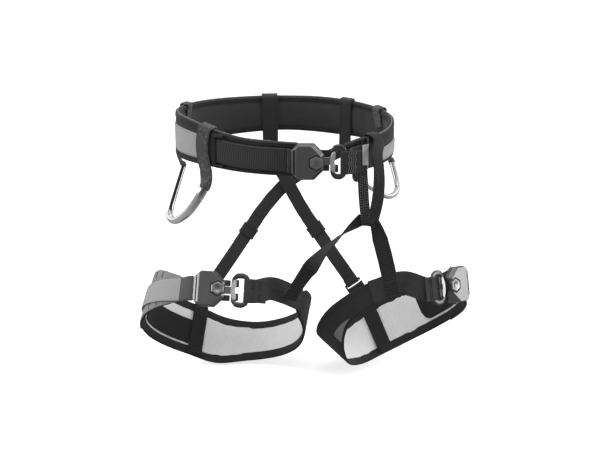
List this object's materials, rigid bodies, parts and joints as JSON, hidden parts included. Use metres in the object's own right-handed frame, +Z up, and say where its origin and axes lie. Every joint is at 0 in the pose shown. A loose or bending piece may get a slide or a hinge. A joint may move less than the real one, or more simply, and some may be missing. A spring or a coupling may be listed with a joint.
{
  "type": "climbing harness",
  "caption": "Sit harness with a padded waist belt, two leg loops, hook buckles, tie-in straps, rear risers and gear loops.",
  "frame": {"origin": "centre of the bounding box at its lowest point", "axes": "+X along the belt's width to the side of the leg loop that is turned away, -Y out of the wearer's front, +Z up"},
  "size_m": [0.4718, 0.237, 0.3908],
  "materials": {
    "lining": "brushed polyester knit",
    "foam": "closed-cell foam inside the belt",
    "shell": "dense woven nylon",
    "binding": "woven edge tape with a light piping",
    "webbing": "woven nylon webbing",
    "elastic": "woven elastic",
    "grey_fabric": "woven grey nylon",
    "grey_webbing": "woven grey webbing",
    "mesh": "light spacer mesh",
    "housing": "dark satin anodised",
    "ring": "near-black anodised",
    "hook": "bead-blasted grey",
    "plate": "black",
    "tube": "bright polished",
    "plastic": "moulded black"
  },
  "bodies": {
    "harness": {"gear_band_front_left": "webbing", "gear_band_front_right": "webbing", "gear_band_rear_left": "webbing", "gear_band_rear_right": "webbing", "left_leg_buckle_back_plate": "plate", "left_leg_buckle_housing": "housing", "leg_bridge_left": "webbing", "leg_bridge_right": "webbing", "leg_cover_left": "grey_fabric", "leg_cover_right": "grey_fabric", "leg_edge_binding_left": "binding", "leg_edge_binding_right": "binding", "leg_inner_patch_left": "webbing", "leg_inner_patch_right": "webbing", "leg_inner_strap_left": "webbing", "leg_inner_strap_right": "webbing", "leg_pad_left": "mesh", "leg_pad_right": "mesh", "leg_webbing_front_left": "webbing", "leg_webbing_front_right": "webbing", "leg_webbing_rear_left": "grey_webbing", "leg_webbing_rear_right": "grey_webbing", "lumbar_band_left": "webbing", "lumbar_band_right": "webbing", "right_leg_buckle_back_plate": "plate", "right_leg_buckle_housing": "housing", "riser_lower_left": "elastic", "riser_lower_right": "elastic", "riser_upper_left": "elastic", "riser_upper_right": "elastic", "tie_in_loop_inner": "webbing", "tie_in_loop_outer": "webbing", "waist_buckle_back_plate": "plate", "waist_buckle_housing": "housing", "waist_edge_binding": "binding", "waist_foam": "foam", "waist_lining": "lining", "waist_shell": "shell", "waist_side_panel_left": "grey_fabric", "waist_side_panel_right": "grey_fabric", "waist_webbing_left": "webbing", "waist_webbing_right": "webbing", "webbing_keeper_black": "elastic", "webbing_keeper_grey": "grey_webbing"},
    "waist_ring": {"waist_buckle_ring": "ring"},
    "waist_hook": {"waist_buckle_hook": "hook"},
    "waist_bar": {"waist_buckle_adjuster_bar": "plate"},
    "left_leg_ring": {"left_leg_buckle_ring": "ring"},
    "left_leg_hook": {"left_leg_buckle_hook": "hook"},
    "left_leg_bar": {"left_leg_buckle_adjuster_bar": "plate"},
    "right_leg_ring": {"right_leg_buckle_ring": "ring"},
    "right_leg_hook": {"right_leg_buckle_hook": "hook"},
    "right_leg_bar": {"right_leg_buckle_adjuster_bar": "plate"},
    "gear_loop_left": {"gear_loop_left": "tube"},
    "gear_loop_right": {"gear_loop_right": "tube"},
    "riser_slider_left": {"riser_slider_left": "plastic"},
    "riser_hook_left": {"riser_hook_left": "plastic"},
    "riser_slider_right": {"riser_slider_right": "plastic"},
    "riser_hook_right": {"riser_hook_right": "plastic"}
  },
  "joints": [
    {"name": "waist_ring_tilt", "type": "hinge", "parent": "harness", "child": "waist_ring", "pos_m": [0.05764, -0.11038, 0.33182], "axis": [0, -0.125, 0.9922], "range_deg": [0, 15]},
    {"name": "waist_hook_turn", "type": "hinge", "parent": "waist_ring", "child": "waist_hook", "pos_m": [0.03684, -0.11038, 0.33182], "axis": [0, -0.125, 0.9922], "range_deg": [0, 50]},
    {"name": "waist_bar_slide", "type": "slide", "parent": "harness", "child": "waist_bar", "axis": [-1, 0, 0], "range_m": [0, 0.0015]},
    {"name": "left_leg_ring_tilt", "type": "hinge", "parent": "harness", "child": "left_leg_ring", "pos_m": [-0.07848, -0.08283, 0.14435], "axis": [0.0529, 0.4723, 0.8798], "range_deg": [0, 15]},
    {"name": "left_leg_hook_turn", "type": "hinge", "parent": "left_leg_ring", "child": "left_leg_hook", "pos_m": [-0.09923, -0.08305, 0.14571], "axis": [0.0529, 0.4723, 0.8798], "range_deg": [0, 50]},
    {"name": "left_leg_bar_slide", "type": "slide", "parent": "harness", "child": "left_leg_bar", "axis": [-0.9978, -0.0103, 0.0655], "range_m": [0, 0.0015]},
    {"name": "right_leg_ring_tilt", "type": "hinge", "parent": "harness", "child": "right_leg_ring", "pos_m": [0.17943, -0.08483, 0.14838], "axis": [0.0946, -0.2207, -0.9707], "range_deg": [0, 15]},
    {"name": "right_leg_hook_turn", "type": "hinge", "parent": "right_leg_ring", "child": "right_leg_hook", "pos_m": [0.19443, -0.07052, 0.14659], "axis": [0.0946, -0.2207, -0.9707], "range_deg": [0, 50]},
    {"name": "right_leg_bar_slide", "type": "slide", "parent": "harness", "child": "right_leg_bar", "axis": [0.7209, 0.6877, -0.0861], "range_m": [0, 0.0015]},
    {"name": "gear_loop_left_swing", "type": "hinge", "parent": "harness", "child": "gear_loop_left", "pos_m": [-0.13436, -0.07938, 0.29182], "axis": [-0.3479, 0.9339, 0.0824], "range_deg": [-5, 35], "stiffness_Nm_per_rad": 0.02},
    {"name": "gear_loop_right_swing", "type": "hinge", "parent": "harness", "child": "gear_loop_right", "pos_m": [0.07164, -0.07938, 0.30282], "axis": [-0.4166, -0.909, 0.0076], "range_deg": [-5, 15], "stiffness_Nm_per_rad": 0.02},
    {"name": "riser_slider_left_slide", "type": "slide", "parent": "harness", "child": "riser_slider_left", "axis": [-0.5568, -0.1366, -0.8194], "range_m": [-0.006, 0.012]},
    {"name": "riser_hook_left_swing", "type": "hinge", "parent": "harness", "child": "riser_hook_left", "pos_m": [-0.13739, 0.08621, 0.10431], "axis": [0.8271, 0, -0.562], "range_deg": [0, 40]},
    {"name": "riser_slider_right_slide", "type": "slide", "parent": "harness", "child": "riser_slider_right", "axis": [0.5662, -0.1799, -0.8044], "range_m": [-0.006, 0.012]},
    {"name": "riser_hook_right_swing", "type": "hinge", "parent": "harness", "child": "riser_hook_right", "pos_m": [0.07265, 0.07913, 0.10938], "axis": [0.8177, 0, 0.5756], "range_deg": [0, 40]}
  ]
}
